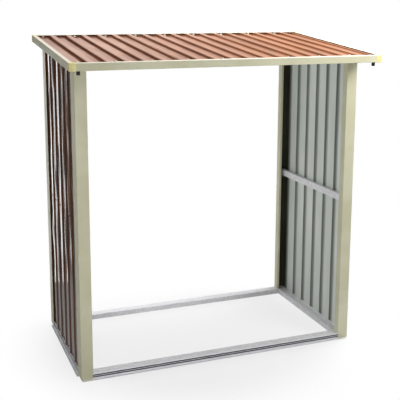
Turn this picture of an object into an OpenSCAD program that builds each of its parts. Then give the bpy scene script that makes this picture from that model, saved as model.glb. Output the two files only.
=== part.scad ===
// Log store: an open steel frame with ribbed side walls and a ribbed lean-to roof

/* [Overall] */
// Width of the roof over its edge rails
roof_w = 1720; // [1300:10:2400]
// Depth of the roof over its edge rails, on the flat
roof_d = 1030; // [800:10:1500]
// Height of the roof's low front edge
roof_front_h = 1686; // [1300:2:2200]
// Rise of the roof from front to back
roof_rise = 88; // [30:1:160]
// How far the roof stands past the posts at each side
side_overhang = 56; // [48:1:140]
// How far the roof stands past the posts at the front
front_overhang = 160; // [60:1:260]
// How far the roof stands past the posts at the back
back_overhang = 16; // [16:1:140]

/* [Posts] */
// Width of a post's face
post_w = 64; // [45:1:80]
// Depth of a post's outer flange
post_d = 85; // [70:1:120]
// Depth of a post's inner return
post_return = 45; // [36:1:60]
// Width of the lip folded on the inner return
post_lip = 14; // [8:0.5:20]
// Thickness of the posts' sheet
post_t = 1.5; // [1:0.1:3]

/* [Base rails] */
// Height of the base rails
base_h = 30; // [24:1:60]
// Depth of the base rails' flat top
base_top = 60; // [40:1:90]
// Width of the lip at the foot of the base rails
base_lip = 14; // [4:0.5:20]
// Thickness of the base rails' sheet
base_t = 1.5; // [1:0.1:2.5]
// How far the upper of the two grooves in the outer face lies under the rails' top
groove_down = 5; // [4:0.5:8]
// Height of each groove
groove_h = 6.5; // [2:0.5:8]
// Plain stretch between the two grooves
groove_land = 3.5; // [3:0.5:5]
// Depth of the grooves
groove_d = 6; // [1:0.5:10]

/* [Wall rails and roof beams] */
// Height of the top of the rails half way up the walls
mid_rail_top = 860; // [500:5:1100]
// Height of the wall rails
brace_h = 40; // [25:1:60]
// Depth of the wall rails
brace_d = 25; // [18:0.5:31]
// Height of the roof beams
beam_h = 40; // [25:1:50]
// Depth of the roof beams
beam_d = 30; // [20:1:36]
// Lip folded on the edges of the wall rails and roof beams
channel_lip = 8; // [4:0.5:11]
// Thickness of the wall rails' and roof beams' sheet
channel_t = 1.5; // [1:0.1:2.5]

/* [Roof rails] */
// Height of the roof's edge rails
rail_h = 40; // [30:1:60]
// Width of the edge rails' top
rail_lip = 22; // [12:1:26]
// Width of the edge rails' bottom flange
rail_foot = 24; // [23:0.5:32]
// Thickness of the edge rails' sheet
rail_t = 1.5; // [1:0.1:2.5]
// Length of the corner caps along each rail
cap_l = 36; // [33:1:60]
// Thickness of the corner caps' walls
cap_t = 2; // [1.2:0.1:4]

/* [Drain spouts] */
// Outer diameter of a drain spout
spout_d = 18; // [14:0.5:20]
// Bore of a drain spout
spout_bore = 13; // [8:0.5:13]
// Length of a drain spout under the rail
spout_l = 19; // [10:1:40]
// Diameter of the collar on a drain spout
spout_collar_d = 22; // [21:0.5:23]
// Thickness of that collar
spout_collar_t = 2; // [1:0.5:4]

/* [Sheets] */
// Thickness of the ribbed sheets
sheet_t = 1; // [0.6:0.1:1.6]
// Number of flat pans across the roof
roof_pan_count = 18; // [12:1:24]
// Number of flat pans across a wall
wall_pan_count = 6; // [4:1:8]
// Width of a rib's flat top
rib_top = 28; // [12:1:34]
// Width of a rib's sloping side
rib_flank = 8; // [5:0.5:14]
// Height of the roof's ribs
roof_rib_h = 5; // [3:0.5:10]
// Height of the walls' ribs
wall_rib_h = 6; // [3:0.5:10]
// Width of the flat edge of a wall sheet
wall_edge = 20; // [16:1:30]
// How far a wall sheet reaches behind a post's outer flange
wall_lap = 40; // [25:1:60]

/* [Hidden] */
$fn = 48;

// Overrun of the cuts
cut = 2;
// Roof panels side by side, and their end clearance in the edge rails
roof_panel_count = 3;
sheet_clear = 2;
// Gap between a shelf's corner and its neighbour, and between a spout and a cap
shelf_gap = 2;
spout_gap = 0.5;

// Roof frame: its pitch, its length up the slope, the seat of its sheets and its drains
pitch = atan2(roof_rise, roof_d);
roof_l = (roof_d - rail_h * sin(pitch)) / cos(pitch);
seat = rail_t + roof_rib_h + sheet_t;
rail_shelf = cap_l - shelf_gap;
roof_open_w = roof_w - 2 * rail_lip;
roof_rib_pitch = roof_open_w / roof_pan_count;
sheet_inset = rail_t + sheet_clear;
spout_x = roof_w / 2 - cap_l - spout_gap - spout_collar_d / 2;

// Base: its outer faces, the faces just inside the posts and the span of the grooves
base_w = roof_w - 2 * side_overhang;
front_y = front_overhang - roof_d / 2;
back_y = roof_d / 2 - back_overhang;
base_d = back_y - front_y;
base_mid_y = (front_y + back_y) / 2;
inner_w = base_w - 2 * post_t;
inner_d = base_d - 2 * post_t;
bay_w = base_w - 2 * post_w;
groove_top = base_h - groove_down;
groove_z = groove_top - 2 * groove_h - groove_land;

// Walls: their depth over the ribs, their width and the pitch of their ribs
wall_depth = wall_rib_h + sheet_t;
wall_span = base_d - 2 * (post_d - wall_lap);
wall_rib_pitch = (wall_span - 2 * wall_edge) / wall_pan_count;
wall_inside_x = inner_w / 2 - wall_depth;
wall_seam = round(wall_pan_count / 2);

// Room of the back edge rail, and places of the beams in front of it, up the slope
rail_room = rail_shelf + shelf_gap;
rail_room_u = roof_l - rail_room;
front_beam_u = (front_overhang + post_t) / cos(pitch);
back_post_u = (roof_d - back_overhang - post_t) / cos(pitch);
back_beam_u = min(back_post_u - (seat + beam_h) * tan(pitch), rail_room_u) - beam_d;
top_rail_l = min(back_post_u - 2 * (seat + brace_h) * tan(pitch), rail_room_u) - front_beam_u;

brown = [0.45, 0.29, 0.24];
beige = [0.80, 0.79, 0.67];
zinc = [0.76, 0.77, 0.80];
cap_yellow = [0.80, 0.78, 0.52];
black = [0.08, 0.08, 0.08];

// Height of the plane on which the roof sheets lie
function seat_z(y) = roof_front_h + (y + roof_d / 2) * tan(pitch) - seat / cos(pitch);

// Line of one rib's half, rising to the left of a pan or to its right
function rise_left(x, h) = [[x + rib_top / 2, h], [x + rib_top / 2 + rib_flank, 0]];
function rise_right(x, h) = [[x - rib_top / 2 - rib_flank, 0], [x - rib_top / 2, h]];

// Line along pans first to last - 1 of a sheet whose outer edges are flat or raised
function ribbed_line(first, last, count, step, h, edge, edges_up) = [
    [first * step - (first > 0 ? 0 : edge), first > 0 || edges_up ? h : 0],
    for (i = [first : last - 1]) each concat(
        i > 0 || edges_up ? rise_left(i * step, h) : [],
        i < count - 1 || edges_up ? rise_right((i + 1) * step, h) : []
    ),
    [last * step + (last < count ? 0 : edge), last < count || edges_up ? h : 0]
];

// Ribbed sheet on edge: its line, and the same line one thickness higher
module sheet_section(line) {
    count = len(line);
    polygon(concat(
        line,
        [for (i = [1 : count]) line[count - i] + [0, sheet_t]]
    ));
}

// Lipped channel, its web on the left
module channel_section(depth, height) {
    square([channel_t, height]);
    for (z = [0, height - channel_t])
        translate([0, z])
            square([depth, channel_t]);
    for (z = [0, height - channel_lip])
        translate([depth - channel_t, z])
            square([channel_t, channel_lip]);
}

// Edge rail: outer face on the left, top at zero, and the shelf that the sheets lie on
module rail_section() {
    translate([0, -rail_h])
        square([rail_t, rail_h]);
    translate([0, -rail_h])
        square([rail_foot, rail_t]);
    translate([0, -rail_t])
        square([rail_lip, rail_t]);
    translate([0, -seat - rail_t])
        square([rail_shelf, rail_t]);
}

// Base rail, its grooved outer face on the left and its lip past that
module base_section() {
    translate([-base_lip, 0])
        square([base_lip + base_t, base_t]);
    difference() {
        square([groove_d + base_t, base_h]);
        translate([base_t, -cut])
            square([groove_d + cut, groove_z - base_t + cut]);
        translate([base_t, groove_top + base_t])
            square([groove_d + cut, base_h]);
        for (z = [groove_z, groove_top - groove_h])
            translate([-cut, z])
                square([groove_d + cut, groove_h]);
    }
    translate([0, base_h - base_t])
        square([base_top, base_t]);
    translate([base_top - base_t, 0])
        square([base_t, base_h]);
}

// Post in plan: outer flange on the left and face along the front
module post_angle_section() {
    square([post_t, post_d]);
    square([post_w, post_t]);
}

// Return and lip folded on the inner edge of a post's face
module post_return_section() {
    translate([post_w - post_t, 0])
        square([post_t, post_return]);
    translate([post_w - post_lip, post_return - post_t])
        square([post_lip, post_t]);
}

// Plan of a corner cap's two legs of one width
module cap_plan(width) {
    square([cap_l, width]);
    square([width, cap_l]);
}

// Placing: the roof's slope, lengths along X or Y, and what lies under the roof
module on_roof() {
    translate([0, -roof_d / 2, roof_front_h])
        rotate([pitch, 0, 0])
            children();
}

module along_x(length) {
    translate([-length / 2, 0, 0])
        rotate([90, 0, 90])
            linear_extrude(length)
                children();
}

module along_y(length) {
    translate([0, length, 0])
        rotate([90, 0, 0])
            linear_extrude(length)
                children();
}

module other_side() {
    mirror([1, 0, 0])
        children();
}

module other_end(middle) {
    translate([0, 2 * middle, 0])
        mirror([0, 1, 0])
            children();
}

module under_roof() {
    intersection() {
        children();
        along_x(roof_w)
            polygon([
                [front_y, 0],
                [back_y, 0],
                [back_y, seat_z(back_y)],
                [front_y, seat_z(front_y)]
            ]);
    }
}

// Base rails
module base_rail_front() {
    color(zinc)
        translate([0, front_y + post_t, 0])
            along_x(inner_w)
                base_section();
}

module base_rail_back() {
    other_end(base_mid_y)
        base_rail_front();
}

module base_rail_left() {
    color(zinc)
        translate([-inner_w / 2, front_y + post_t + base_top, 0])
            along_y(inner_d - 2 * base_top)
                base_section();
}

module base_rail_right() {
    other_side()
        base_rail_left();
}

// Posts: the angle stands on the base rails' lip, the return on their top, and the roof's
// back edge rail rests in a notch
module back_rail_room() {
    on_roof()
        translate([0, rail_room_u, -rail_h])
            along_x(roof_w)
                square([rail_room + cut, rail_h + cut]);
}

module left_post(y, front) {
    color(beige)
        difference() {
            under_roof()
                translate([-base_w / 2, y, 0])
                    mirror([0, front ? 0 : 1, 0]) {
                        translate([0, 0, base_t])
                            linear_extrude(roof_front_h + roof_rise)
                                post_angle_section();
                        translate([0, 0, base_h])
                            linear_extrude(roof_front_h + roof_rise)
                                post_return_section();
                    }
            back_rail_room();
        }
}

module post_front_left() {
    left_post(front_y, true);
}

module post_back_left() {
    left_post(back_y, false);
}

module post_front_right() {
    other_side()
        post_front_left();
}

module post_back_right() {
    other_side()
        post_back_left();
}

// Wall sheets, each from one rib's middle to another's
module right_wall(first, last) {
    color(brown)
        under_roof()
            translate([wall_inside_x, base_mid_y - wall_span / 2 + wall_edge, base_h])
                linear_extrude(roof_front_h + roof_rise)
                    mirror([1, -1])
                        sheet_section(ribbed_line(
                            first, last, wall_pan_count, wall_rib_pitch,
                            wall_rib_h, wall_edge, true
                        ));
}

module wall_sheet_right_front() {
    right_wall(0, wall_seam);
}

module wall_sheet_right_back() {
    right_wall(wall_seam, wall_pan_count);
}

module wall_sheet_left_front() {
    other_side()
        wall_sheet_right_front();
}

module wall_sheet_left_back() {
    other_side()
        wall_sheet_right_back();
}

// Wall rails, their lips on the wall: level half way up and on the slope along the top
module left_wall_rail(length) {
    translate([-wall_inside_x, 0, 0])
        along_y(length)
            translate([brace_d, 0])
                mirror([1, 0])
                    channel_section(brace_d, brace_h);
}

module mid_rail_left() {
    color(zinc)
        translate([0, front_y + post_t, mid_rail_top - brace_h])
            left_wall_rail(inner_d);
}

module mid_rail_right() {
    other_side()
        mid_rail_left();
}

module top_rail_left() {
    color(zinc)
        on_roof()
            translate([0, front_beam_u, -seat - brace_h])
                left_wall_rail(top_rail_l);
}

module top_rail_right() {
    other_side()
        top_rail_left();
}

// Roof beams under the sheets
module roof_beam(u, length) {
    color(zinc)
        on_roof()
            translate([0, u, -seat - beam_h])
                along_x(length)
                    channel_section(beam_d, beam_h);
}

module front_beam() {
    roof_beam(front_beam_u, bay_w);
}

module back_beam() {
    roof_beam(back_beam_u, bay_w);
}

module roof_purlin() {
    roof_beam((front_beam_u + back_beam_u) / 2, 2 * (wall_inside_x - brace_d));
}

// Roof rails, the front one drained at both ends
module spout_place(side) {
    translate([side * spout_x, rail_foot / 2, -rail_h])
        children();
}

module cross_rail() {
    along_x(roof_w - 2 * cap_l)
        rail_section();
}

module roof_rail_front() {
    color(beige)
        on_roof()
            difference() {
                cross_rail();
                for (side = [-1, 1])
                    spout_place(side)
                        translate([0, 0, -cut])
                            cylinder(d = spout_bore, h = rail_t + 2 * cut);
            }
}

module roof_rail_back() {
    color(beige)
        on_roof()
            other_end(roof_l / 2)
                cross_rail();
}

module roof_rail_left() {
    color(beige)
        on_roof()
            translate([-roof_w / 2, cap_l, 0])
                along_y(roof_l - 2 * cap_l)
                    rail_section();
}

module roof_rail_right() {
    other_side()
        roof_rail_left();
}

// Corner caps between the rails: outer walls, top and bottom
module left_cap() {
    color(cap_yellow)
        translate([-roof_w / 2, 0, -rail_h]) {
            linear_extrude(rail_h)
                cap_plan(cap_t);
            linear_extrude(rail_t)
                cap_plan(rail_foot);
            translate([0, 0, rail_h - rail_t])
                linear_extrude(rail_t)
                    cap_plan(rail_lip);
        }
}

module corner_cap_front_left() {
    on_roof()
        left_cap();
}

module corner_cap_back_left() {
    on_roof()
        other_end(roof_l / 2)
            left_cap();
}

module corner_cap_front_right() {
    other_side()
        corner_cap_front_left();
}

module corner_cap_back_right() {
    other_side()
        corner_cap_back_left();
}

// Drain spouts under the ends of the front rail
module drain_spout(side) {
    color(black)
        on_roof()
            spout_place(side)
                difference() {
                    union() {
                        translate([0, 0, -spout_l])
                            cylinder(d = spout_d, h = spout_l);
                        translate([0, 0, -spout_collar_t])
                            cylinder(d = spout_collar_d, h = spout_collar_t);
                    }
                    translate([0, 0, -spout_l - cut])
                        cylinder(d = spout_bore, h = spout_l + 2 * cut);
                }
}

module drain_spout_left() {
    drain_spout(-1);
}

module drain_spout_right() {
    drain_spout(1);
}

// Roof sheets side by side, each from one rib's middle to another's
module roof_sheet(panel) {
    first = round(panel * roof_pan_count / roof_panel_count);
    last = round((panel + 1) * roof_pan_count / roof_panel_count);
    color(brown)
        on_roof()
            translate([-roof_open_w / 2, sheet_inset, -seat])
                along_y(roof_l - 2 * sheet_inset)
                    sheet_section(ribbed_line(
                        first, last, roof_pan_count, roof_rib_pitch,
                        roof_rib_h, rail_lip - sheet_inset, false
                    ));
}

module roof_sheet_left() {
    roof_sheet(0);
}

module roof_sheet_middle() {
    roof_sheet(1);
}

module roof_sheet_right() {
    roof_sheet(2);
}

base_rail_front();
base_rail_back();
base_rail_left();
base_rail_right();
post_front_left();
post_front_right();
post_back_left();
post_back_right();
wall_sheet_left_front();
wall_sheet_left_back();
wall_sheet_right_front();
wall_sheet_right_back();
mid_rail_left();
mid_rail_right();
top_rail_left();
top_rail_right();
front_beam();
back_beam();
roof_purlin();
roof_rail_front();
roof_rail_back();
roof_rail_left();
roof_rail_right();
corner_cap_front_left();
corner_cap_front_right();
corner_cap_back_left();
corner_cap_back_right();
drain_spout_left();
drain_spout_right();
roof_sheet_left();
roof_sheet_middle();
roof_sheet_right();
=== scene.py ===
from math import atan2, cos, pi, radians, sin, tan

import bmesh
import bpy
from mathutils import Matrix, Vector, noise


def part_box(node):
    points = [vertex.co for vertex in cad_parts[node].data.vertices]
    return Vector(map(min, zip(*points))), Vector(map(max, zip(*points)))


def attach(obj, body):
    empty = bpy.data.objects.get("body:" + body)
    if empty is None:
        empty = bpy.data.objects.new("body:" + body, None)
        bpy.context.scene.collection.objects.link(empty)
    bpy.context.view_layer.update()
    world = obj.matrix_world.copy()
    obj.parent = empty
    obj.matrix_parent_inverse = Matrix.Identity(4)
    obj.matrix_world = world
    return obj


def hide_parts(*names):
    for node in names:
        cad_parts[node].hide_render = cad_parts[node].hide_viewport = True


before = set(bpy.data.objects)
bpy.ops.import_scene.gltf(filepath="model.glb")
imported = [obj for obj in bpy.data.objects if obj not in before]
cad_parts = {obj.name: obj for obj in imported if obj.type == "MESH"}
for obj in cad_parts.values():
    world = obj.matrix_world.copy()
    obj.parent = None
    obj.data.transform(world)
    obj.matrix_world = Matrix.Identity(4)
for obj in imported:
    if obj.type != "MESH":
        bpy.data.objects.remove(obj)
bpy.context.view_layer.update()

# Sizes that several pieces share, in metres
store = dict(
    roofWide=1.720, roofDeep=1.030, roofFront=1.686, roofRise=0.088,
    railHigh=0.040, railLip=0.022, railFoot=0.024, railShelf=0.034, railThick=0.0015,
    capLong=0.036, seat=0.0075, baseHigh=0.030, railRoom=0.036,
)
close = dict(merge=1e-6, fold=1e-5, line=1e-4)  # distances that count as touching
pitch = atan2(store["roofRise"], store["roofDeep"])
roofRun = (store["roofDeep"] - store["railHigh"] * sin(pitch)) / cos(pitch)  # length up the slope
frontEdge = Matrix.Translation((0, -store["roofDeep"] / 2, store["roofFront"]))
onRoof = frontEdge @ Matrix.Rotation(pitch, 4, "X")
seatNormal = onRoof.to_3x3() @ Vector((0, 0, 1))
seatPoint = onRoof @ Vector((0, 0, -store["seat"]))  # under the roof sheets

# A section is drawn in XY and run along Z, then turned to run along X or along Y
sideways = Matrix(((0, 0, 1, 0), (1, 0, 0, 0), (0, 1, 0, 0), (0, 0, 0, 1)))
endways = Matrix(((1, 0, 0, 0), (0, 0, 1, 0), (0, 1, 0, 0), (0, 0, 0, 1)))
flipX = Matrix.Scale(-1, 4, (1, 0, 0))
flipY = Matrix.Scale(-1, 4, (0, 1, 0))
roofBackEnd = Matrix.Translation((0, roofRun, 0)) @ flipY  # from the roof's front to its back
print("frame loaded, roof pitch", round(pitch, 4))


# Shader wires
class Wire:
    def __init__(self, tree, socket):
        self.tree = tree
        self.socket = socket

    def node(self, kind, settings, sockets, out=0):
        made = self.tree.nodes.new("ShaderNode" + kind)
        for key, value in settings.items():
            setattr(made, key, value)
        feed(self.tree, made, sockets)
        return Wire(self.tree, made.outputs[out])

    def maths(self, operation, first, second=0.0):
        return self.node("Math", {"operation": operation}, {0: first, 1: second})

    def __add__(self, other):
        return self.maths("ADD", self, other)

    def __radd__(self, other):
        return self.maths("ADD", other, self)

    def __sub__(self, other):
        return self.maths("SUBTRACT", self, other)

    def __rsub__(self, other):
        return self.maths("SUBTRACT", other, self)

    def __mul__(self, other):
        return self.maths("MULTIPLY", self, other)

    def __rmul__(self, other):
        return self.maths("MULTIPLY", other, self)

    def __truediv__(self, other):
        return self.maths("DIVIDE", self, other)

    def __rtruediv__(self, other):
        return self.maths("DIVIDE", other, self)

    def __abs__(self):
        return self.maths("ABSOLUTE", self)

    def larger(self, other):
        return self.maths("MAXIMUM", self, other)

    def step(self, low, high):  # 0 below low, 1 above high, smooth between
        return self.node("MapRange", {"interpolation_type": "SMOOTHSTEP"}, {0: self, 1: low, 2: high})

    def blend(self, first, second):  # two values by this one
        return first + self * (second - first)

    def mix(self, first, second):  # two colours by this value
        return self.node("Mix", {"data_type": "RGBA"}, {0: self, 6: first, 7: second}, 2)

    def part(self, axis):
        return self.node("SeparateXYZ", {}, {0: self}, axis)

    def grain(self, scale, detail=2.0, rough=0.5, stretch=None):
        spread = self
        if stretch:
            spread = self.node("VectorMath", {"operation": "MULTIPLY"}, {0: self, 1: stretch})
        sockets = {"Vector": spread, "Scale": scale, "Detail": detail, "Roughness": rough}
        return self.node("TexNoise", {}, sockets)


def feed(tree, made, sockets):  # links wires and sets plain values
    for key, value in sockets.items():
        if isinstance(value, Wire):
            tree.links.new(value.socket, made.inputs[key])
        else:
            made.inputs[key].default_value = value


def tint(red, green, blue):  # screen values 0 to 255 to a linear colour
    parts = [value / 255 for value in (red, green, blue)]
    return [p / 12.92 if p <= 0.04045 else ((p + 0.055) / 1.055) ** 2.4 for p in parts] + [1.0]


white, black = (1, 1, 1, 1), (0, 0, 0, 1)
cloudSpan = (0.35, 0.7)  # noise levels that part a finish's two tints


def newFinish(name, fixed):
    finish = bpy.data.materials.new(name)
    finish.use_nodes = True
    tree = finish.node_tree
    shader = tree.nodes["Principled BSDF"]
    feed(tree, shader, fixed)
    place = Wire(tree, tree.nodes.new("ShaderNodeTexCoord").outputs["Object"])
    return finish, shader, place


def coverWith(place, shader, cover, share):  # a second shader over the first, by share
    tree = place.tree
    layers = place.node("MixShader", {}, {0: share, 1: Wire(tree, shader.outputs[0]), 2: cover})
    feed(tree, tree.nodes["Material Output"], {"Surface": layers})


def peel(place, scale, strength, distance):  # fine uneven surface of paint or plastic
    sockets = {"Height": place.grain(scale), "Strength": strength, "Distance": distance}
    return place.node("Bump", {}, sockets)


def fromLine(place, axis, step, middle):  # signed distance from the nearest of a row of lines
    across = place.part(axis) - (middle - step / 2)
    return across.maths("FLOORED_MODULO", across, step) - step / 2


def between(value, low, high, softLow, softHigh):  # 1 from low to high, with a soft edge at each
    return value.step(low - softLow, low + softLow) * (1 - value.step(high - softHigh, high + softHigh))


def cloudyFinish(name, look):  # two tints in soft patches
    finish, shader, place = newFinish(name, {"Specular IOR Level": look["specular"]})
    cloud = place.grain(**look["cloud"])
    body = cloud.step(*cloudSpan).mix(look["dull"], look["pale"])
    rough = look["rough"] + cloud * look["cloudRough"]
    skin = peel(place, **look["peel"])
    feed(place.tree, shader, {"Base Color": body, "Roughness": rough, "Normal": skin})
    return finish, shader, place, body, rough


# Brown paint of the roof, with painted shadow along one side of each rib and under the back lip, painted
# highlights on the rib crowns, and painted light that warms the pans to the right
roofPaint = dict(
    pan=tint(164, 109, 79), pale=tint(182, 129, 100), cloud=dict(scale=2.6, detail=3.0),
    rough=0.28, roughSpan=(0.4, 0.8), streakRough=0.08, specular=0.5,
    crown=0.5, crownHighlight=tint(198, 147, 120), crownSoft=0.002,
    litWarm=tint(172, 108, 62), warmShare=0.56, fadeFrom=-0.65, fadeTo=0.6,
    streak=0.4, streakSpan=(0.42, 0.62),
    streaks=dict(scale=9.0, detail=4.0, rough=0.6, stretch=(1.0, 0.12, 1.0)),
    paintedShadow=tint(62, 31, 17), dirtAndShadePale=tint(86, 46, 27), shadowRough=0.9,
    patches=dict(scale=14.0, detail=3.0), patchSpan=(0.3, 0.7),
    bandMiddle=-0.0305, bandWide=0.025, bandSoft=0.008, bandSharp=0.0015, bandLeft=0.96, bandRight=0.72,
    topEdge=0.455, topWide=0.12, lipShadow=0.9,
    peel=dict(scale=260.0, strength=0.12, distance=0.0004),
)


def roofFinish():
    paint = roofPaint
    finish, shader, place = newFinish("roofBrown", {"Specular IOR Level": paint["specular"]})
    bandHalf, crownHalf = paint["bandWide"] / 2, roofSheets["rib"]["top"] / 2
    fromBand = fromLine(place, 0, roofStep, paint["bandMiddle"])
    fromCrown = fromLine(place, 0, roofStep, 0.0)
    # painted shadow: a band on the left of each rib stands for the rib's cast shadow
    ribShadow = between(fromBand, -bandHalf, bandHalf, paint["bandSoft"], paint["bandSharp"])
    crown = between(fromCrown, -crownHalf, crownHalf, paint["crownSoft"], paint["crownSoft"])
    # painted shadow under the back lip, on the pans but not on the crowns
    lipShadow = place.part(1).step(paint["topEdge"] - paint["topWide"], paint["topEdge"]) * (1 - crown)
    rightwardLight = place.part(0).step(paint["fadeFrom"], paint["fadeTo"])  # painted light: the pans warmer and the painted shadow lighter to the right
    streaks = place.grain(**paint["streaks"])
    body = place.grain(**paint["cloud"]).step(*cloudSpan).mix(paint["pan"], paint["pale"])
    body = (rightwardLight * paint["warmShare"]).mix(body, paint["litWarm"])
    body = (streaks.step(*paint["streakSpan"]) * paint["streak"]).mix(body, paint["dirtAndShadePale"])
    # painted highlight: the rib crowns paler
    body = (crown * paint["crown"]).mix(body, paint["crownHighlight"])
    feed(place.tree, shader, {
        "Base Color": body,
        "Roughness": paint["rough"] + streaks.step(*paint["roughSpan"]) * paint["streakRough"],
        "Normal": peel(place, **paint["peel"]),
    })
    patch = place.grain(**paint["patches"]).step(*paint["patchSpan"])
    # the painted shadow's coat: dark and matte, with no reflection
    paintedShadow = place.node("BsdfPrincipled", {}, {
        "Base Color": patch.mix(paint["paintedShadow"], paint["dirtAndShadePale"]),
        "Roughness": paint["shadowRough"], "Specular IOR Level": 0.0,
    })
    shadowShare = (ribShadow * rightwardLight.blend(paint["bandLeft"], paint["bandRight"])).larger(lipShadow * paint["lipShadow"])
    coverWith(place, shader, paintedShadow, shadowShare)
    return finish


# Glossy brown paint of the walls, with painted shade at the foot of each rib
wallPaint = dict(
    pan=tint(80, 50, 33), pale=tint(100, 68, 49), cloud=dict(scale=2.6, detail=3.0),
    rough=0.10, roughSpan=(0.4, 0.8), streakRough=0.04, specular=0.4,
    streak=0.35, streakSpan=(0.45, 0.75),
    streaks=dict(scale=9.0, detail=4.0, rough=0.6, stretch=(1.0, 1.0, 0.1)),
    shade=tint(52, 32, 21), foot=0.5, footHalf=0.003, footSoft=0.002, footRough=0.1,
    peel=dict(scale=260.0, strength=0.06, distance=0.0004),
)


def wallFinish():
    paint, rib = wallPaint, wallSheets["rib"]
    finish, shader, place = newFinish("wallBrown", {"Specular IOR Level": paint["specular"]})
    foot, half, soft = rib["top"] / 2 + rib["flank"], paint["footHalf"], paint["footSoft"]
    # painted shade in the folds at each rib's foot
    creaseShade = between(abs(fromLine(place, 1, wallStep, wallMiddle)), foot - half, foot + half, soft, soft)
    streaks = place.grain(**paint["streaks"])
    body = place.grain(**paint["cloud"]).step(*cloudSpan).mix(paint["pan"], paint["pale"])
    body = (streaks.step(*paint["streakSpan"]) * paint["streak"]).mix(body, paint["pale"])
    rough = paint["rough"] + streaks.step(*paint["roughSpan"]) * paint["streakRough"]
    feed(place.tree, shader, {
        "Base Color": (creaseShade * paint["foot"]).mix(body, paint["shade"]),
        "Roughness": rough + creaseShade * paint["footRough"],
        "Normal": peel(place, **paint["peel"]),
    })
    return finish


# Pale grey back of the sheets, with painted shade in the ribs' hollows, darkest at a sharp edge on one side
backCoat = dict(
    pale=tint(220, 225, 219), dull=tint(207, 213, 207), rough=0.36, cloudRough=0.08, specular=0.3,
    cloud=dict(scale=5.0, detail=4.0, rough=0.55, stretch=(1.0, 1.0, 0.35)),
    hollowShadeTint=tint(84, 88, 78), paintedShade=0.85, shadeFromShare=1.4, shadeToShare=0.8, rimIn=0.002, rimOut=0.001,
    peel=dict(scale=240.0, strength=0.1, distance=0.0004),
)


def backFinish(name, axis, step, middle, rib):
    finish, shader, place, body = cloudyFinish(name, backCoat)[:4]
    half = rib["top"] / 2 + rib["flank"]
    across = fromLine(place, axis, step, middle)
    # painted shade: ramps across each hollow to a sharp edge on one side, as the fold's shadow
    hollowShade = across.step(-half * backCoat["shadeFromShare"], half * backCoat["shadeToShare"])
    hollowShade = hollowShade * (1 - across.step(half - backCoat["rimIn"], half + backCoat["rimOut"]))
    feed(place.tree, shader, {"Base Color": (hollowShade * backCoat["paintedShade"]).mix(body, backCoat["hollowShadeTint"])})
    return finish


# Dark inside of the posts: a bare back coat, darkened further as painted shade of the deep channels
postInsideShade = dict(
    pale=tint(72, 69, 55), dull=tint(60, 57, 46), rough=0.45, cloudRough=0.1, specular=0.2,
    cloud=dict(scale=6.0, detail=4.0, rough=0.55, stretch=(1.0, 1.0, 0.35)),
    peel=dict(scale=240.0, strength=0.1, distance=0.0004),
)

# Beige paint of the posts and the roof's edge, with a painted highlight on the top lips
beigePaint = dict(
    pale=tint(213, 211, 184), dull=tint(200, 197, 168), rough=0.32, cloudRough=0.1, specular=0.35,
    cloud=dict(scale=3.4, detail=4.0, rough=0.55),
    lipHighlight=tint(216, 209, 194), highlightDown=0.0032, highlightSoft=0.0014, highlightShare=0.9, lipRough=0.4,
    speck=tint(170, 165, 135), specks=dict(scale=120.0), speckSpan=(0.68, 0.76), speckShare=0.1,
    peel=dict(scale=300.0, strength=0.12, distance=0.0004),
)


def beigeFinish():
    paint = beigePaint
    finish, shader, place, body, rough = cloudyFinish("beigePaint", paint)
    up = place.node("VectorMath", {"operation": "DOT_PRODUCT"}, {0: place, 1: seatNormal}, 1)
    up = up - (seatNormal.dot(onRoof.translation) - paint["highlightDown"])
    # painted highlight: the top lips paler and whiter
    lipHighlight = up.step(-paint["highlightSoft"], paint["highlightSoft"])
    specks = place.grain(**paint["specks"]).step(*paint["speckSpan"])
    body = (lipHighlight * paint["highlightShare"]).mix(body, paint["lipHighlight"])
    feed(place.tree, shader, {
        "Base Color": (specks * paint["speckShare"]).mix(body, paint["speck"]),
        "Roughness": rough + lipHighlight * paint["lipRough"],
    })
    return finish


# Bright zinc with a faint spangle
zincCoat = dict(
    bright=tint(236, 235, 238), dull=tint(222, 221, 225), rough=0.34, flakeRough=0.14, metal=0.12,
    spangle=90.0, haze=dict(scale=7.0, detail=3.0), flakeShare=0.6, hazeShare=0.4, tintSpan=(0.2, 0.8),
    peel=dict(scale=160.0, strength=0.08, distance=0.0004),
)


def newZinc(name):
    coat = zincCoat
    finish, shader, place = newFinish(name, {"Metallic": coat["metal"]})
    cell = place.node("TexVoronoi", {}, {"Vector": place, "Scale": coat["spangle"]}, "Color")
    flake = cell.node("SeparateColor", {}, {0: cell})
    haze = place.grain(**coat["haze"])
    spangled = flake * coat["flakeShare"] + haze * coat["hazeShare"]
    body = spangled.step(*coat["tintSpan"]).mix(coat["dull"], coat["bright"])
    feed(place.tree, shader, {
        "Base Color": body,
        "Roughness": coat["rough"] + flake * coat["flakeRough"],
        "Normal": peel(place, **coat["peel"]),
    })
    return finish, shader, place, body


baseCoat = dict(
    grooveShade=tint(58, 59, 66), paintedHighlight=tint(248, 248, 252),
    soft=0.0006, rim=0.0225, topEdge=0.0045, foot=0.0075,
)


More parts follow.
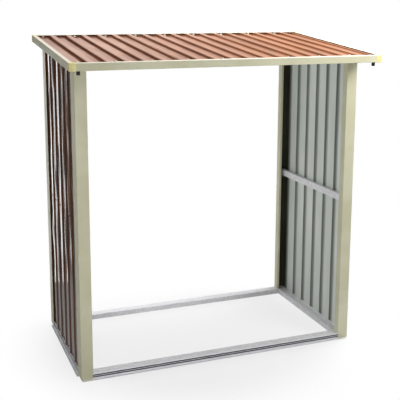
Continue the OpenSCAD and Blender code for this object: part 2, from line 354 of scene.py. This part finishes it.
def baseFinish():  # painted shade in the grooves, painted highlights on the edges above and below them
    finish, shader, place, body = newZinc("baseZinc")
    low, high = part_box("base_rail_front")[0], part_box("base_rail_back")[1]
    soft, up = baseCoat["soft"], place.part(2)
    across = abs(place.part(0)) - (high.x - baseCoat["rim"])
    along = abs(place.part(1) - (low.y + high.y) / 2) - ((high.y - low.y) / 2 - baseCoat["rim"])
    outside = across.larger(along).step(0.0, soft)
    # painted shade: the insides of the grooves on the outer faces darkened
    grooves = [between(up, ceiling - baseRails["groove"], ceiling, soft, soft) for ceiling in grooveTops()]
    paintedShade = sum(grooves) * outside
    topEdge, foot = store["baseHigh"] - baseCoat["topEdge"], baseCoat["foot"]
    # painted highlights along the top edge and the foot of the outer faces
    edges = up.step(topEdge - soft, topEdge + soft) + (1 - up.step(foot - soft, foot + soft))
    body = (edges * outside).mix(body, baseCoat["paintedHighlight"])
    feed(place.tree, shader, {
        "Base Color": paintedShade.mix(body, baseCoat["grooveShade"]),
        "Metallic": zincCoat["metal"] * (1 - paintedShade),
    })
    return finish


# Moulded plastics, and the screws' coats
moulded = dict(cloud=dict(scale=40.0, detail=3.0), cloudRough=0.1, specular=0.5)
plasticSkin = dict(strength=0.2, distance=0.0003)
plastics = dict(
    capYellow=dict(
        pale=tint(230, 222, 162), dull=tint(216, 208, 144), rough=0.4, peel=dict(plasticSkin, scale=500.0),
    ),
    spoutBlack=dict(
        pale=tint(30, 29, 28), dull=tint(18, 17, 17), rough=0.4, peel=dict(plasticSkin, scale=400.0),
    ),
    screwPale=dict(
        pale=tint(232, 228, 210), dull=tint(214, 208, 190), rough=0.35, peel=dict(plasticSkin, scale=600.0),
    ),
    screwBrown=dict(
        pale=tint(110, 74, 58), dull=tint(96, 62, 48), rough=0.3, peel=dict(plasticSkin, scale=600.0),
    ),
)


def plasticFinish(name):
    return cloudyFinish(name, dict(moulded, **plastics[name]))[0]


# Mesh helpers
flatWeight = 90  # how far the flat faces hold the shading beside a rounded fold


def cutAt(bm, point, normal, drop=False):  # drop takes off what lies past the plane
    everything = bm.verts[:] + bm.edges[:] + bm.faces[:]
    bmesh.ops.bisect_plane(
        bm, geom=everything, dist=close["merge"], plane_co=point, plane_no=normal, clear_outer=drop
    )


def roundFolds(bm, radius, segments=3, sharp=0.1):
    folds = [edge for edge in bm.edges if len(edge.link_faces) == 2 and edge.calc_face_angle() > sharp]
    bmesh.ops.bevel(
        bm, geom=folds, offset=radius, affect="EDGES", segments=segments, profile=0.5, material=-1
    )


def pullEdges(bm, edges):  # the new vertices of an extrusion
    made = bmesh.ops.extrude_edge_only(bm, edges=edges)["geom"]
    return [item for item in made if isinstance(item, bmesh.types.BMVert)]


def foldStrip(bm, points, run, radius):  # a section in XY, run along Z, with rounded folds
    strip = bmesh.new()
    corners = [strip.verts.new((x, y, 0)) for x, y in points]
    edges = [strip.edges.new(pair) for pair in zip(corners, corners[1:])]
    far = pullEdges(strip, edges)
    bmesh.ops.translate(strip, verts=far, vec=(0, 0, run))
    roundFolds(strip, radius)
    mesh = bpy.data.meshes.new("strip")
    strip.to_mesh(mesh)
    strip.free()
    bm.from_mesh(mesh)
    bpy.data.meshes.remove(mesh)


def moveBy(bm, matrix):
    bmesh.ops.transform(bm, matrix=matrix, verts=bm.verts)


def outerSide(low, high):  # how far a box reaches from the middle plane
    return max(abs(low.x), abs(high.x))


def makePiece(bm, name, finishes, nodes, thick=0.0, outward=None):
    bmesh.ops.remove_doubles(bm, verts=bm.verts, dist=close["merge"])
    bmesh.ops.recalc_face_normals(bm, faces=bm.faces)
    bm.normal_update()
    if outward and sum(face.normal.dot(outward) * face.calc_area() for face in bm.faces) < 0:
        bmesh.ops.reverse_faces(bm, faces=bm.faces)
    for face in bm.faces:
        face.smooth = True
    mesh = bpy.data.meshes.new(name)
    bm.to_mesh(mesh)
    bm.free()
    for finish in finishes:
        mesh.materials.append(finish)
    piece = bpy.data.objects.new(name, mesh)
    bpy.context.scene.collection.objects.link(piece)
    if thick:
        sheet = piece.modifiers.new("thickness", "SOLIDIFY")
        sheet.thickness = thick
        sheet.offset = 0
        sheet.use_even_offset = True
        sheet.material_offset = len(finishes) - 1  # the last finish is the inner side's
    flats = piece.modifiers.new("flats", "WEIGHTED_NORMAL")
    flats.weight = flatWeight
    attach(piece, "root")
    if nodes:
        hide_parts(*nodes)


# Ribbed sheets: a flat blank is scored at the folds, pressed, rounded and left a little uneven
def ribbedBlank(span, run, ribs, rib, thick, seam):  # a rib at the seam goes under the next sheet
    bm = bmesh.new()
    bmesh.ops.create_grid(bm, x_segments=1, y_segments=1, size=0.5)
    wide = span[1] - span[0]
    bmesh.ops.scale(bm, vec=(wide, run, 1), verts=bm.verts)
    bmesh.ops.translate(bm, vec=(span[0] + wide / 2, run / 2, 0), verts=bm.verts)
    half = rib["top"] / 2
    for middle in ribs:
        for edge in (-half - rib["flank"], -half, half, half + rib["flank"]):
            if span[0] < middle + edge < span[1]:
                cutAt(bm, (middle + edge, 0, 0), (1, 0, 0))
    for middle in ribs:
        crown = [vert for vert in bm.verts if abs(vert.co.x - middle) < half + close["line"]]
        under = seam is not None and abs(middle - seam) < close["line"]
        bmesh.ops.translate(bm, vec=(0, 0, rib["high"] - (thick if under else 0)), verts=crown)
    roundFolds(bm, rib["bend"])
    return bm


hollows = dict(cuts=4, sideSoft=0.03, panShift=3.7, fineShare=0.5, fineScale=2.3)


def dent(bm, span, run, step, rib, dents):  # shallow hollows that thin sheet has between its folds
    foot = rib["top"] / 2 + rib["flank"]
    flat = step - 2 * foot - 2 * rib["bend"]
    for pan in range(int(span[0] // step), int(span[1] // step) + 1):
        for cut in range(hollows["cuts"] + 1):
            across = pan * step + foot + rib["bend"] + flat * cut / hollows["cuts"]
            if span[0] < across < span[1]:
                cutAt(bm, (across, 0, 0), (1, 0, 0))
    stations = round(run / dents["every"])
    for station in range(1, stations):
        cutAt(bm, (0, run * station / stations, 0), (0, 1, 0))
    left, right = span[0] + dents["edge"], span[1] - dents["edge"]
    for vert in bm.verts:
        x, y = vert.co.x, vert.co.y
        fromRib = abs(x / step - round(x / step)) * step
        inPan = sin(max(0.0, fromRib - foot) / (step / 2 - foot) * pi / 2) ** 2
        toHeld = min([y, run - y] + [abs(y - level) for level in dents["held"]])
        toSide = min(max(0.0, x - left), max(0.0, right - x))
        free = min(1.0, toHeld / dents["ends"]) * min(1.0, toSide / hollows["sideSoft"])
        spot = Vector((round(x / step - 0.5) * hollows["panShift"], y / dents["long"], dents["seed"]))
        deep = noise.noise(spot) + hollows["fineShare"] * noise.noise(spot * hollows["fineScale"])
        vert.co.z += dents["deep"] * deep * (inPan + dents["crowns"]) * free


roofSheets = dict(
    thick=0.001, pans=18, panels=3, inset=0.0035, lap=0.008,
    rib=dict(top=0.028, flank=0.008, high=0.005, bend=0.002),
    dents=dict(deep=0.0008, crowns=0.25, long=0.16, ends=0.12, held=(), edge=0.0, every=0.035, seed=4.0),
)
roofStep = (store["roofWide"] - 2 * store["railLip"]) / roofSheets["pans"]


def buildRoofSheets(brown, grey):
    rib, thick, inset = roofSheets["rib"], roofSheets["thick"], roofSheets["inset"]
    outer = store["roofWide"] / 2 - inset
    run = roofRun - 2 * inset
    half = roofSheets["pans"] // 2
    share = roofSheets["pans"] // roofSheets["panels"]
    for panel, side in enumerate(("left", "middle", "right")):
        low = panel * share - half
        high = low + share
        start = -outer if side == "left" else low * roofStep - roofSheets["lap"]
        end = outer if side == "right" else high * roofStep
        seam = None if side == "right" else end
        ribs = [k * roofStep for k in range(low, high + 1) if abs(k) < half]
        bm = ribbedBlank((start, end), run, ribs, rib, thick, seam)
        dent(bm, (start, end), run, roofStep, rib, roofSheets["dents"])
        moveBy(bm, onRoof @ Matrix.Translation((0, inset, thick / 2 - store["seat"])))
        makePiece(
            bm, "roofSheet." + side, (brown, grey), ["roof_sheet_" + side], thick, seatNormal
        )


wallSheets = dict(
    thick=0.001, pans=6, edge=0.020, lap=0.008, spare=0.02,
    rib=dict(top=0.028, flank=0.008, high=0.006, bend=0.002),
    dents=dict(deep=0.0026, crowns=0.5, long=0.19, ends=0.12, edge=0.05, every=0.04),
    seeds=dict(left=20.0, right=25.0, front=8.5, back=6.8),
)
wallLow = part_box("wall_sheet_right_front")[0]
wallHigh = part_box("wall_sheet_right_back")[1]
wallMiddle = (wallLow.y + wallHigh.y) / 2
wallStep = (wallHigh.y - wallLow.y - 2 * wallSheets["edge"]) / wallSheets["pans"]


def buildWallSheets(brown, grey):
    rib, thick = wallSheets["rib"], wallSheets["thick"]
    edge, seeds = wallSheets["edge"], wallSheets["seeds"]
    run = wallHigh.z - wallLow.z + wallSheets["spare"]  # the roof's plane cuts it off
    half = wallSheets["pans"] // 2
    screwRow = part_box("mid_rail_left")[1].z - wallScrews["railUp"]
    upright = Matrix.Translation((wallLow.x + thick / 2, wallMiddle, wallLow.z)) @ sideways
    for side in ("left", "right"):
        for end in ("front", "back"):
            ahead = end == "front"
            low, high = (-half, 0) if ahead else (0, half)
            start = low * wallStep - (edge if ahead else 0)
            stop = high * wallStep + (wallSheets["lap"] if ahead else edge)
            ribs = [k * wallStep for k in range(low, high + 1)]
            bm = ribbedBlank((start, stop), run, ribs, rib, thick, None if ahead else 0.0)
            for vert in bm.verts:  # the outer edges stay at the ribs' height, behind the posts
                if abs(vert.co.x) > half * wallStep + close["line"]:
                    vert.co.z = rib["high"]
            dents = dict(wallSheets["dents"], seed=seeds[side] + seeds[end], held=(screwRow - wallLow.z,))
            dent(bm, (start, stop), run, wallStep, rib, dents)
            moveBy(bm, upright)
            if side == "left":
                moveBy(bm, flipX)
            cutAt(bm, seatPoint, seatNormal, drop=True)
            outward = Vector((-1 if side == "left" else 1, 0, 0))
            makePiece(
                bm, f"wallSheet.{side}.{end}", (brown, grey),
                [f"wall_sheet_{side}_{end}"], thick, outward,
            )


# Folded posts, open to the inside
posts = dict(thick=0.0015, foot=0.0015, lip=0.014, deepReturn=0.045, bend=0.003)


def notchForRail(bm):  # the back edge rail rests in the back posts
    start = roofRun - store["railRoom"]
    cutAt(bm, onRoof @ Vector((0, start, 0)), onRoof.to_3x3() @ Vector((0, 1, 0)))
    cutAt(bm, onRoof @ Vector((0, 0, -store["railHigh"])), seatNormal)
    room = []
    for face in bm.faces:
        middle = onRoof.inverted() @ face.calc_center_median()
        if middle.y > start and middle.z > -store["railHigh"]:
            room.append(face)
    bmesh.ops.delete(bm, geom=room, context="FACES")


def shortenReturn(bm, level, start):  # the return stands on the base rails
    cutAt(bm, (0, 0, level), (0, 0, 1))
    inner = []
    for face in bm.faces:
        middle = face.calc_center_median()
        if middle.z < level and middle.x > start:
            inner.append(face)
    bmesh.ops.delete(bm, geom=inner, context="FACES")


def buildPosts(beige, dark):
    half, innerReturn = posts["thick"] / 2, posts["deepReturn"] - posts["thick"] / 2
    for side in ("left", "right"):
        for end in ("front", "back"):
            low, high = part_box(f"post_{end}_{side}")
            wide, deep = high.x - low.x, high.y - low.y
            section = (
                (half, deep), (half, half), (wide - half, half),
                (wide - half, innerReturn), (wide - posts["lip"], innerReturn),
            )
            bm = bmesh.new()
            foldStrip(bm, section, store["roofFront"] + store["roofRise"], posts["bend"])
            returnFold = wide - posts["bend"] - half - close["fold"]
            shortenReturn(bm, store["baseHigh"] - posts["foot"], returnFold)
            turn, edge = (flipY, high.y) if end == "back" else (Matrix.Identity(4), low.y)
            moveBy(bm, Matrix.Translation((-outerSide(low, high), edge, posts["foot"])) @ turn)
            if side == "right":
                moveBy(bm, flipX)
            cutAt(bm, seatPoint, seatNormal, drop=True)
            notchForRail(bm)
            outward = Vector((-1 if side == "left" else 1, -1 if end == "front" else 1, 0))
            makePiece(
                bm, f"post.{end}.{side}", (beige, dark),
                [f"post_{end}_{side}"], posts["thick"], outward,
            )


# Base rails with two grooves in the outer face
baseRails = dict(
    thick=0.0015, lip=0.014, top=0.060, bend=0.0009,
    grooveDown=0.005, groove=0.0065, land=0.0035, deep=0.006,
)


def grooveTops():  # the lower one first
    upper = store["baseHigh"] - baseRails["grooveDown"]
    return upper - baseRails["groove"] - baseRails["land"], upper


def buildBaseRails(zinc):
    half, high, lip = baseRails["thick"] / 2, store["baseHigh"], baseRails["lip"]
    bottom, inner = half + baseRails["deep"], baseRails["top"] - half
    section = [(-lip, half), (half, half)]
    for ceiling in grooveTops():
        floor = ceiling - baseRails["groove"] - half
        section += [(half, floor), (bottom, floor), (bottom, ceiling + half), (half, ceiling + half)]
    section += [(half, high - half), (inner, high - half), (inner, 0)]
    for side in ("front", "back", "left", "right"):
        low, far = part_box("base_rail_" + side)
        bm = bmesh.new()
        if side in ("front", "back"):
            foldStrip(bm, section, far.x - low.x, baseRails["bend"])
            moveBy(bm, sideways)
            turn, edge = (flipY, far.y - lip) if side == "back" else (Matrix.Identity(4), low.y + lip)
            moveBy(bm, Matrix.Translation((low.x, edge, 0)) @ turn)
        else:
            foldStrip(bm, section, far.y - low.y, baseRails["bend"])
            moveBy(bm, Matrix.Translation((lip - outerSide(low, far), low.y, 0)) @ endways)
            if side == "right":
                moveBy(bm, flipX)
        makePiece(bm, "baseRail." + side, (zinc,), ["base_rail_" + side], baseRails["thick"])


# Lipped channels: wall rails and roof beams
channels = dict(thick=0.0015, lip=0.008, high=0.040, railDeep=0.025, beamDeep=0.030, bend=0.002)


def channelSection(deep):
    half, high, lip = channels["thick"] / 2, channels["high"], channels["lip"]
    return (
        (deep - half, lip), (deep - half, half), (half, half),
        (half, high - half), (deep - half, high - half), (deep - half, high - lip),
    )


def slopeSpan(node):  # where up the slope a node begins and ends
    along = [(onRoof.inverted() @ vert.co).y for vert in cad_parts[node].data.vertices]
    return min(along), max(along)


def makeChannel(section, run, name, zinc, node, where, mirrored=False):
    bm = bmesh.new()
    foldStrip(bm, section, run, channels["bend"])
    moveBy(bm, where)
    if mirrored:
        moveBy(bm, flipX)
    makePiece(bm, name, (zinc,), [node], channels["thick"])


def buildChannels(zinc):
    railSection = [(channels["railDeep"] - x, z) for x, z in channelSection(channels["railDeep"])]
    beamSection = channelSection(channels["beamDeep"])
    under = -store["seat"] - channels["high"]
    for side in ("left", "right"):
        flip = side == "right"
        low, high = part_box("mid_rail_" + side)
        outer = -outerSide(low, high)
        where = Matrix.Translation((outer, low.y, low.z)) @ endways
        makeChannel(railSection, high.y - low.y, "midRail." + side, zinc, "mid_rail_" + side, where, flip)
        node = "top_rail_" + side
        start, end = slopeSpan(node)
        where = onRoof @ Matrix.Translation((outer, start, under)) @ endways
        makeChannel(railSection, end - start, "topRail." + side, zinc, node, where, flip)
    for name, node in (("frontBeam", "front_beam"), ("backBeam", "back_beam"), ("purlin", "roof_purlin")):
        low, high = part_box(node)
        where = onRoof @ Matrix.Translation((low.x, slopeSpan(node)[0], under)) @ sideways
        makeChannel(beamSection, high.x - low.x, name, zinc, node, where)


# Roof edge rails, a hair inside the caps' faces
roofRails = dict(inset=0.0006, bend=0.0025)


def buildRoofRails(beige):
    half, inset, thick = store["railThick"] / 2, roofRails["inset"], store["railThick"]
    back = half + inset
    top, bottom = -half - inset, half + inset - store["railHigh"]
    angle = ((store["railFoot"], bottom), (back, bottom), (back, top), (store["railLip"], top))
    shelf = -store["seat"] - half
    ledge = ((back, shelf), (store["railShelf"], shelf))
    across = store["roofWide"] - 2 * store["capLong"]
    along = roofRun - 2 * store["capLong"]
    for side in ("front", "back", "left", "right"):
        bm = bmesh.new()
        crosswise = side in ("front", "back")
        for section in (angle, ledge):
            foldStrip(bm, section, across if crosswise else along, roofRails["bend"])
        if crosswise:
            moveBy(bm, Matrix.Translation((-across / 2, 0, 0)) @ sideways)
            if side == "back":
                moveBy(bm, roofBackEnd)
        else:
            moveBy(bm, Matrix.Translation((-store["roofWide"] / 2, store["capLong"], 0)) @ endways)
            if side == "right":
                moveBy(bm, flipX)
        moveBy(bm, onRoof)
        makePiece(bm, "roofRail." + side, (beige,), ["roof_rail_" + side], thick)


# Moulded corner caps
cornerCaps = dict(thick=0.002, bend=0.0032, sharp=0.5)


def buildCornerCaps(yellow):
    half, leg = cornerCaps["thick"] / 2, store["capLong"]
    lip, foot = store["railLip"], store["railFoot"]
    outline = ((half, half), (leg, half), (leg, lip), (lip, lip), (lip, leg), (half, leg))
    for side in ("left", "right"):
        for end in ("front", "back"):
            bm = bmesh.new()
            corners = [bm.verts.new((x, y, -half)) for x, y in outline]
            bm.faces.new(corners)
            outer = [bm.edges.get((corners[0], corners[1])), bm.edges.get((corners[-1], corners[0]))]
            low = pullEdges(bm, outer)
            bmesh.ops.translate(bm, verts=low, vec=(0, 0, 2 * half - store["railHigh"]))
            hem = [edge for edge in bm.edges if all(vert in low for vert in edge.verts)]
            for vert in pullEdges(bm, hem):
                vert.co.x = max(vert.co.x, foot)
                vert.co.y = max(vert.co.y, foot)
            roundFolds(bm, cornerCaps["bend"], sharp=cornerCaps["sharp"])
            moveBy(bm, Matrix.Translation((-store["roofWide"] / 2, 0, 0)))
            if end == "back":
                moveBy(bm, roofBackEnd)
            moveBy(bm, onRoof)
            if side == "right":
                moveBy(bm, flipX)
            node = f"corner_cap_{end}_{side}"
            makePiece(bm, f"cornerCap.{end}.{side}", (yellow,), [node], cornerCaps["thick"])


# Drain spouts, spun
spouts = dict(
    bore=0.013, tube=0.018, collar=0.022, collarThick=0.002, long=0.019, fromCorner=0.0475,
    steps=32, bend=0.0008, bendSteps=2, sharp=0.8,
)


def buildSpouts(black):
    inner, outer, collar = spouts["bore"] / 2, spouts["tube"] / 2, spouts["collar"] / 2
    profile = (
        (inner, 0), (collar, 0), (collar, -spouts["collarThick"]),
        (outer, -spouts["collarThick"]), (outer, -spouts["long"]), (inner, -spouts["long"]),
    )
    aside = store["roofWide"] / 2 - spouts["fromCorner"]
    for side, sign in (("left", -1), ("right", 1)):
        bm = bmesh.new()
        corners = [bm.verts.new((radius, 0, height)) for radius, height in profile]
        loop = [bm.edges.new(pair) for pair in zip(corners, corners[1:] + corners[:1])]
        bmesh.ops.spin(
            bm, geom=corners + loop, cent=(0, 0, 0), axis=(0, 0, 1), angle=2 * pi,
            steps=spouts["steps"], use_merge=True,
        )
        bmesh.ops.recalc_face_normals(bm, faces=bm.faces)
        roundFolds(bm, spouts["bend"], spouts["bendSteps"], spouts["sharp"])
        spot = (sign * aside, store["railFoot"] / 2, -store["railHigh"])
        moveBy(bm, onRoof @ Matrix.Translation(spot))
        makePiece(bm, "drainSpout." + side, (black,), ["drain_spout_" + side])


# Screws: a hexagon head on a washer
screws = dict(
    washer=0.0075, washerHigh=0.0012, washerShare=0.86, washerSides=16,
    head=0.0042, headHigh=0.0038, headShare=0.95, headSides=6, bend=0.0006, sharp=0.9,
)


def addScrew(bm, spot, outward, size):
    turn = Vector(outward).to_track_quat("Z", "Y").to_matrix().to_4x4()
    level = 0.0
    for part in ("washer", "head"):
        wide, high = screws[part] * size, screws[part + "High"] * size
        bmesh.ops.create_cone(
            bm, cap_ends=True, segments=screws[part + "Sides"],
            radius1=wide, radius2=wide * screws[part + "Share"], depth=high,
            matrix=Matrix.Translation(spot) @ turn @ Matrix.Translation((0, 0, level + high / 2)),
        )
        level += high


def finishScrews(bm, name, finish):
    roundFolds(bm, screws["bend"], 1, screws["sharp"])
    makePiece(bm, name, (finish,), [])


roofScrews = dict(fromEdge=0.052, across=0.34, every=2, size=1.2)


def buildRoofScrews(finish):
    bm = bmesh.new()
    half = roofSheets["pans"] // 2
    level = roofSheets["thick"] - store["seat"]
    for pan in range(-half, half, roofScrews["every"]):
        for along in (roofScrews["fromEdge"], roofRun - roofScrews["fromEdge"]):
            spot = onRoof @ Vector(((pan + roofScrews["across"]) * roofStep, along, level))
            addScrew(bm, spot, seatNormal, roofScrews["size"])
    finishScrews(bm, "roofScrews", finish)


wallScrews = dict(baseUp=0.014, railUp=0.020, topDown=0.030, size=0.75)


def buildWallScrews(finish):
    half = wallSheets["pans"] // 2
    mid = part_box("mid_rail_left")[1].z - wallScrews["railUp"]
    face = wallLow.x + wallSheets["thick"]
    for side, sign in (("left", -1), ("right", 1)):
        bm = bmesh.new()
        for pan in range(-half, half):
            along = wallMiddle + (pan + 0.5) * wallStep
            top = seatPoint.z + (along - seatPoint.y) * tan(pitch) - wallScrews["topDown"]
            for level in (wallLow.z + wallScrews["baseUp"], mid, top):
                addScrew(bm, (sign * face, along, level), (sign, 0, 0), wallScrews["size"])
        finishScrews(bm, "wallScrews." + side, finish)


postScrews = dict(fromEdge=0.022, rows=6, low=0.06, topDown=0.07, size=0.75)


def buildPostScrews(finish):
    for side, sign in (("left", -1), ("right", 1)):
        bm = bmesh.new()
        for end in ("front", "back"):
            low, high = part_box(f"post_{end}_{side}")
            along = high.y - postScrews["fromEdge"] if end == "front" else low.y + postScrews["fromEdge"]
            rise = (high.z - postScrews["topDown"] - postScrews["low"]) / (postScrews["rows"] - 1)
            for row in range(postScrews["rows"]):
                spot = (sign * outerSide(low, high), along, postScrews["low"] + row * rise)
                addScrew(bm, spot, (sign, 0, 0), postScrews["size"])
        finishScrews(bm, "postScrews." + side, finish)


roofBrown = roofFinish()
wallBrown = wallFinish()
roofBack = backFinish("roofBack", 0, roofStep, 0.0, roofSheets["rib"])
wallBack = backFinish("wallBack", 1, wallStep, wallMiddle, wallSheets["rib"])
postShadeBack = cloudyFinish("postShadeBack", postInsideShade)[0]
beige = beigeFinish()
zinc = newZinc("zincCoat")[0]
baseZinc = baseFinish()
capYellow = plasticFinish("capYellow")
spoutBlack = plasticFinish("spoutBlack")
screwPale = plasticFinish("screwPale")
screwBrown = plasticFinish("screwBrown")
print("finishes made:", len(bpy.data.materials))

buildRoofSheets(roofBrown, roofBack)
buildWallSheets(wallBrown, wallBack)
print("sheets pressed")
buildPosts(beige, postShadeBack)
buildBaseRails(baseZinc)
buildChannels(zinc)
buildRoofRails(beige)
print("folded sections made")
buildCornerCaps(capYellow)
buildSpouts(spoutBlack)
buildRoofScrews(screwPale)
buildWallScrews(screwBrown)
buildPostScrews(beige)
print("caps, spouts and screws made")

# Floor, background, lights and camera
studio = dict(
    floorWide=60.0, floorDrop=0.0004, floorTint=tint(222, 222, 222), floorRough=0.9,
    floorGlow=0.7, glowFrom=0.6, glowTo=1.2, glossNear=0.45, glossFar=0.08, glossFrom=1.4, glossTo=2.2,
    glowCard=1.0, cardFrom=-0.20, cardTo=-0.17, cardSide=0.8,
    ambientFront=0.12, ambientBack=0.40, ambientFrom=-0.4, ambientTo=0.6, dark=0.18,
    backdropLeft=-0.2, leftSoft=0.01, backdropRight=0.4, rightSoft=0.2,
    backdropTop=0.5, topSoft=0.2, backdropTurn=0.1, leastBack=0.01,
)


def floorFinish():  # white to the camera; to a mirror a painted reflection: a dim floor with a glowing card behind
    look = studio
    fixed = {"Base Color": look["floorTint"], "Roughness": look["floorRough"], "Specular IOR Level": 0.0}
    finish, shader, place = newFinish("floorWhite", fixed)
    camera = place.node("LightPath", {}, {}, "Is Camera Ray")
    glossy = place.node("LightPath", {}, {}, "Is Glossy Ray")
    away = place.node("VectorMath", {"operation": "LENGTH"}, {0: place}, 1)
    back = place.part(1)
    # painted reflection: what a mirror sees of the floor, dim near and far, with a glowing card behind on
    # the left
    slant = (place.part(0) + look["cardSide"]) / back.larger(look["glossTo"])
    glowCard = slant.step(look["cardFrom"], look["cardTo"]) * back.step(look["glossFrom"], look["glossTo"])
    far = glowCard.blend(look["glossFar"], look["glowCard"])
    level = away.step(look["glossFrom"], look["glossTo"]).blend(look["glossNear"], far)
    paintedReflection = (glossy * (1 - level)).mix(white, black)
    glow = place.node("Emission", {}, {"Color": paintedReflection, "Strength": 1.0})
    share = away.step(look["glowFrom"], look["glowTo"]).blend(look["floorGlow"], 1)
    coverWith(place, shader, glow, (camera * share).larger(glossy))
    return finish


def buildFloor():
    bm = bmesh.new()
    bmesh.ops.create_grid(bm, x_segments=1, y_segments=1, size=studio["floorWide"] / 2)
    bmesh.ops.translate(bm, vec=(0, 0, -studio["floorDrop"]), verts=bm.verts)
    mesh = bpy.data.meshes.new("floor")
    bm.to_mesh(mesh)
    bm.free()
    mesh.materials.append(floorFinish())
    floor = bpy.data.objects.new("floor", mesh)
    bpy.context.scene.collection.objects.link(floor)


def buildWorld():  # white to the camera, soft light to the object, a pale backdrop to a mirror
    world = bpy.data.worlds.new("studio")
    world.use_nodes = True
    tree, look = world.node_tree, studio
    way = Wire(tree, tree.nodes.new("ShaderNodeTexCoord").outputs["Generated"])  # where a ray goes
    camera = way.node("LightPath", {}, {}, "Is Camera Ray")
    glossy = way.node("LightPath", {}, {}, "Is Glossy Ray")
    clear = way.node("LightPath", {}, {}, "Is Transmission Ray")
    back = way.part(1)
    across = way.part(0) / back.larger(look["leastBack"])
    left, right, top = look["backdropLeft"], look["backdropRight"], look["backdropTop"]
    sheet = between(across, left, right, look["leftSoft"], look["rightSoft"])
    sheet = sheet * back.step(0.0, look["backdropTurn"])
    sheet = sheet * (1 - way.part(2).step(top - look["topSoft"], top))
    mirrored = sheet.blend(look["dark"], 1)
    ambient = back.step(look["ambientFrom"], look["ambientTo"])
    ambient = ambient.blend(look["ambientFront"], look["ambientBack"])
    level = glossy.blend(ambient, mirrored)
    strength = camera.larger(clear).blend(level, 1)
    feed(tree, tree.nodes["Background"], {"Color": white, "Strength": strength})
    bpy.context.scene.world = world


lights = dict(
    keyRight=dict(
        spot=(1.45, -1.5, 2.35), aim=(0.55, -0.2, 1.6), wide=0.8, high=0.8, watts=31, mirrored=False,
    ),
    frontSoft=dict(
        spot=(-1.7, -2.4, 0.75), aim=(-0.7, -0.3, 0.85), wide=0.8, high=1.0, watts=18, mirrored=True,
    ),
    backSoft=dict(
        spot=(0.1, 4.2, 1.9), aim=(0.3, 0.0, 1.1), wide=1.6, high=1.2, watts=100, mirrored=False,
    ),
    topSoft=dict(
        spot=(1.7, 0.5, 4.6), aim=(0.3, 0.0, 1.6), wide=1.6, high=1.6, watts=215, mirrored=True,
    ),
    stripLeft=dict(
        spot=(-0.92, 1.2, 0.8), aim=(-0.8, 0.3, 0.8), wide=0.16, high=1.7, watts=0.75, mirrored=True,
    ),
    glintLeft=dict(
        spot=(-0.90, 1.15, 0.8), aim=(-0.8, 0.3, 0.8), wide=0.05, high=1.7, watts=0.40, mirrored=True,
    ),
)


def addLight(name, panel):
    lamp = bpy.data.lights.new(name, "AREA")
    lamp.shape = "RECTANGLE"
    lamp.size, lamp.size_y = panel["wide"], panel["high"]
    lamp.energy = panel["watts"]
    light = bpy.data.objects.new(name, lamp)
    bpy.context.scene.collection.objects.link(light)
    light.location = panel["spot"]
    light.rotation_euler = (Vector(panel["aim"]) - light.location).to_track_quat("-Z", "Y").to_euler()
    light.visible_camera = False
    light.visible_glossy = panel["mirrored"]


# The photo's camera: metres, degrees, and pixels of a square picture
photoCamera = dict(
    spot=(-1.633, -4.2525, 1.990), turn=-20.965, down=10.737, roll=0.161,
    focal=803.4, middleRow=150.0, imageSide=400.0, sensor=36.0,
)


def buildCamera():
    lens = bpy.data.cameras.new("photoCamera")
    lens.sensor_width = photoCamera["sensor"]
    lens.lens = photoCamera["focal"] / photoCamera["imageSide"] * photoCamera["sensor"]
    lens.shift_y = (photoCamera["middleRow"] - photoCamera["imageSide"] / 2) / photoCamera["imageSide"]
    camera = bpy.data.objects.new("photoCamera", lens)
    bpy.context.scene.collection.objects.link(camera)
    turn = Matrix.Rotation(radians(photoCamera["turn"]), 4, "Z")
    tilt = Matrix.Rotation(radians(90 - photoCamera["down"]), 4, "X")
    roll = Matrix.Rotation(radians(photoCamera["roll"]), 4, "Z")
    camera.matrix_world = Matrix.Translation(photoCamera["spot"]) @ turn @ tilt @ roll
    bpy.context.scene.camera = camera


buildFloor()
buildWorld()
for name, panel in lights.items():
    addLight(name, panel)
buildCamera()
bpy.context.scene.view_settings.view_transform = "Standard"
print("studio set")
